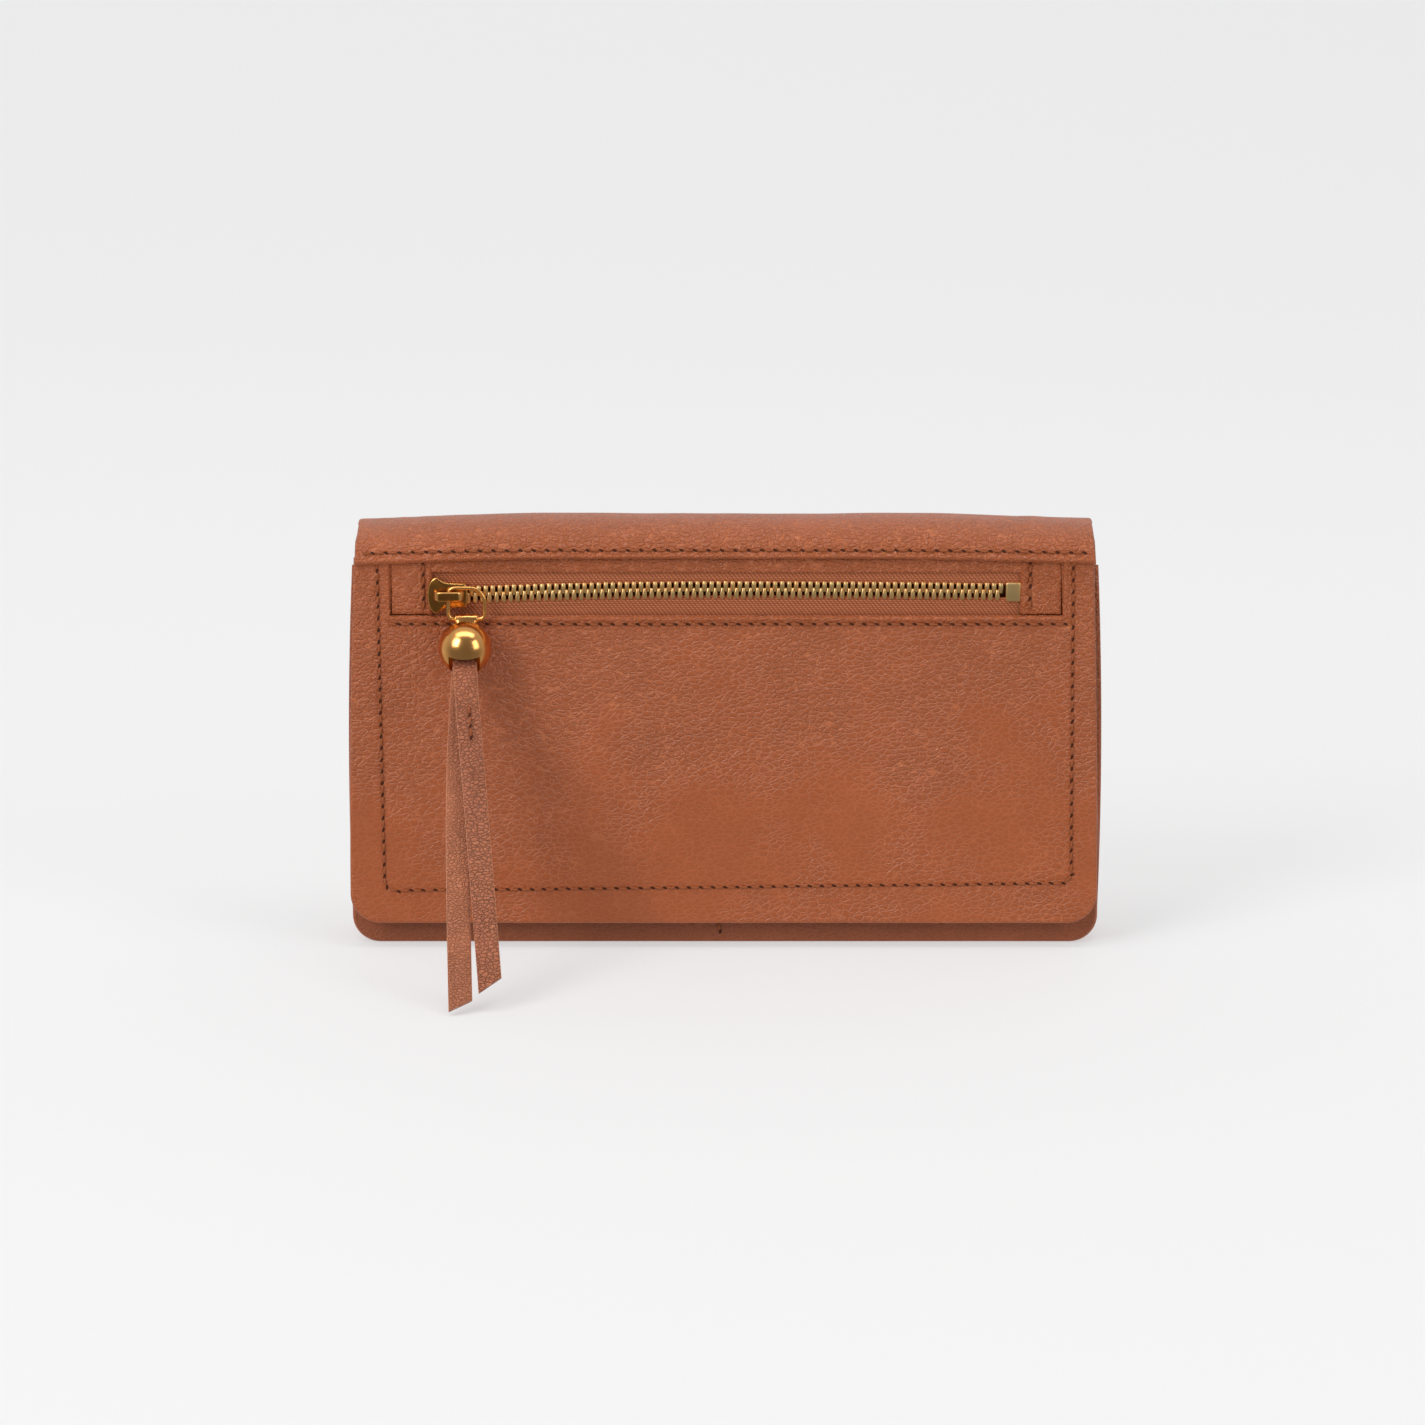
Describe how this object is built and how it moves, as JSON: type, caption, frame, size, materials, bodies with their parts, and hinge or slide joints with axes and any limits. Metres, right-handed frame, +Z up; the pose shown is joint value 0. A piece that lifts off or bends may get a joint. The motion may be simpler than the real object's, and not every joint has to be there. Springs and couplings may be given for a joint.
{
  "type": "wallet",
  "caption": "Flap-over leather clutch wallet, upright, with a zip pocket across the flap, a brass slider, ring and ball charm with a leather thong, card pockets and bill compartments.",
  "frame": {"origin": "Centre of the flat base, on the surface that the wallet stands on.", "axes": "+X to the right seen from the front, the front with the flap faces -Y, +Z up."},
  "size_m": [0.1898, 0.0791, 0.11],
  "materials": {
    "shell_leather": "matte",
    "inner_leather": "matte",
    "lining_cloth": "matte",
    "zip_tape_weave": "matte",
    "zip_brass": "satin",
    "slider_brass": "satin",
    "charm_brass": "gloss",
    "thong_leather": "matte",
    "thread": "matte",
    "magnet_steel": "satin"
  },
  "bodies": {
    "wallet_body": {"back_panel": "shell_leather", "back_lining": "lining_cloth", "base_panel": "shell_leather", "front_panel": "shell_leather", "front_lining": "lining_cloth", "centre_divider": "inner_leather", "gusset_left": "inner_leather", "gusset_right": "inner_leather", "card_pocket_row_1": "inner_leather", "card_pocket_row_2": "inner_leather", "card_pocket_row_3": "inner_leather", "card_pocket_row_4": "inner_leather", "body_magnets": "magnet_steel"},
    "flap_top": {"flap_roll": "shell_leather", "roll_lining": "lining_cloth"},
    "flap": {"flap_face": "shell_leather", "flap_lining": "lining_cloth", "flap_magnets": "magnet_steel", "pocket_bag": "lining_cloth", "zip_tape_lower": "zip_tape_weave", "zip_tape_upper": "zip_tape_weave", "zip_teeth_lower": "zip_brass", "zip_teeth_upper": "zip_brass", "zip_bottom_stop": "zip_brass", "zip_top_stops": "zip_brass", "zip_upper_welt": "shell_leather", "zip_tab_left": "shell_leather", "zip_tab_right": "shell_leather"},
    "zip_slider": {"slider_body": "slider_brass", "slider_bail": "slider_brass"},
    "pull_ring": {"pull_ring": "slider_brass"},
    "charm": {"charm_collar": "charm_brass", "charm_ball": "charm_brass"},
    "thong": {"strap_fold": "thong_leather", "strap_tail_back": "thong_leather", "strap_tail_front": "thong_leather", "strap_stitch": "thread"}
  },
  "joints": [
    {"name": "roll_turn", "type": "hinge", "parent": "wallet_body", "child": "flap_top", "pos_m": [0, 0.00955, 0.10105], "axis": [-1, 0, 0], "range_deg": [0, 90]},
    {"name": "flap_turn", "type": "hinge", "parent": "flap_top", "child": "flap", "pos_m": [0, -0.0145, 0.10165], "axis": [-1, 0, 0], "range_deg": [0, 90]},
    {"name": "zip_travel", "type": "slide", "parent": "flap", "child": "zip_slider", "axis": [1, 0, 0], "range_m": [0, 0.133], "deforming": ["zip_teeth_lower", "zip_teeth_upper", "zip_tape_lower", "zip_tape_upper", "pocket_bag"]},
    {"name": "ring_swing", "type": "hinge", "parent": "zip_slider", "child": "pull_ring", "pos_m": [-0.06895, -0.01555, 0.09235], "axis": [0, 0, -1], "range_deg": [0, 80]},
    {"name": "charm_swing", "type": "hinge", "parent": "pull_ring", "child": "charm", "pos_m": [-0.0647, -0.01555, 0.08642], "axis": [-1, 0, 0], "range_deg": [0, 45]},
    {"name": "thong_swing", "type": "hinge", "parent": "charm", "child": "thong", "pos_m": [-0.0647, -0.0215, 0.0789], "axis": [-1, 0, 0], "range_deg": [-25, 15]}
  ],
  "couplings": [
    {"joint": "flap_turn", "follows": "roll_turn", "ratio": 1}
  ]
}
